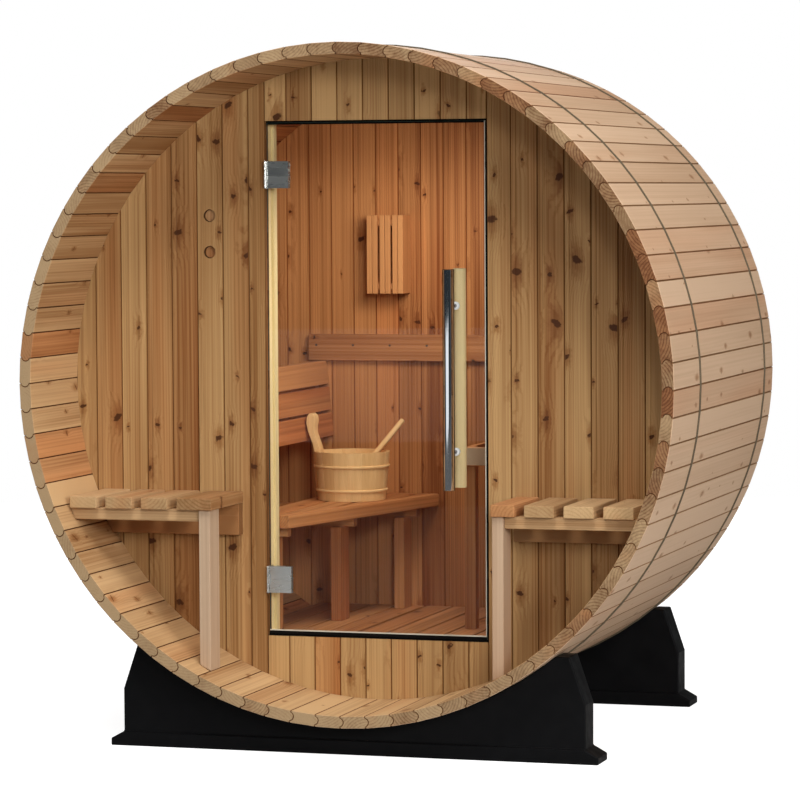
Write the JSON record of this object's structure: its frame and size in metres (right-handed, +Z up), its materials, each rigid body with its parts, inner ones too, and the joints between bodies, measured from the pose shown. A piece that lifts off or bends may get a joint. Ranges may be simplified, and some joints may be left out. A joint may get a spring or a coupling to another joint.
{
  "type": "barrel sauna",
  "caption": "Round stave-built barrel sauna on two dark cradles, with an open porch and slatted porch benches, a hinged glass door, and a bench room behind it.",
  "frame": {"origin": "on the ground, under the middle of the barrel", "axes": "+X to the right of a person facing the porch, +Y along the barrel from the porch to the back wall, +Z up"},
  "size_m": [2.1442, 1.524, 2.2369],
  "materials": {
    "stave_wood": "planed softwood",
    "wall_wood": "planed softwood",
    "bench_wood": "planed softwood",
    "pale_wood": "smooth pale softwood",
    "floor_wood": "planed softwood",
    "door_glass": "clear",
    "seal_rubber": "matte",
    "chrome": "polished",
    "satin_steel": "satin",
    "hoop_steel": "dark, dull",
    "cradle_plastic": "satin moulded"
  },
  "bodies": {
    "root": {"back_wall": "wall_wood", "back_wall_rail": "bench_wood", "backrest_boards": "bench_wood", "backrest_posts": "bench_wood", "barrel_staves_01": "stave_wood", "barrel_staves_02": "stave_wood", "barrel_staves_03": "stave_wood", "barrel_staves_04": "stave_wood", "barrel_staves_05": "stave_wood", "barrel_staves_06": "stave_wood", "barrel_staves_07": "stave_wood", "barrel_staves_08": "stave_wood", "barrel_staves_09": "stave_wood", "barrel_staves_10": "stave_wood", "bucket": "pale_wood", "bucket_hoops": "pale_wood", "cabin_bench_bearers": "bench_wood", "cabin_bench_legs": "bench_wood", "cabin_bench_slats": "bench_wood", "cradle_front": "cradle_plastic", "cradle_rear": "cradle_plastic", "door_frame": "pale_wood", "door_hinge_leaves": "satin_steel", "door_seal": "seal_rubber", "floor_boards": "floor_wood", "floor_joists": "floor_wood", "front_wall_left": "wall_wood", "front_wall_over_door": "wall_wood", "front_wall_right": "wall_wood", "front_wall_under_door": "wall_wood", "heater_guard": "bench_wood", "hoops": "hoop_steel", "ladle": "pale_wood", "lamp_shade": "bench_wood", "porch_bench_left_leg": "bench_wood", "porch_bench_left_rails": "bench_wood", "porch_bench_left_slats": "bench_wood", "porch_bench_right_leg": "bench_wood", "porch_bench_right_rails": "bench_wood", "porch_bench_right_slats": "bench_wood"},
    "door": {"door_glass": "door_glass", "door_handle_bar": "pale_wood", "door_handle_tube": "chrome", "door_hinge_clamps": "satin_steel"}
  },
  "joints": [
    {"name": "door_hinge", "type": "hinge", "parent": "root", "child": "door", "pos_m": [-0.369, -0.3735, 1.1648], "axis": [0, 0, -1], "range_deg": [0, 100]}
  ]
}
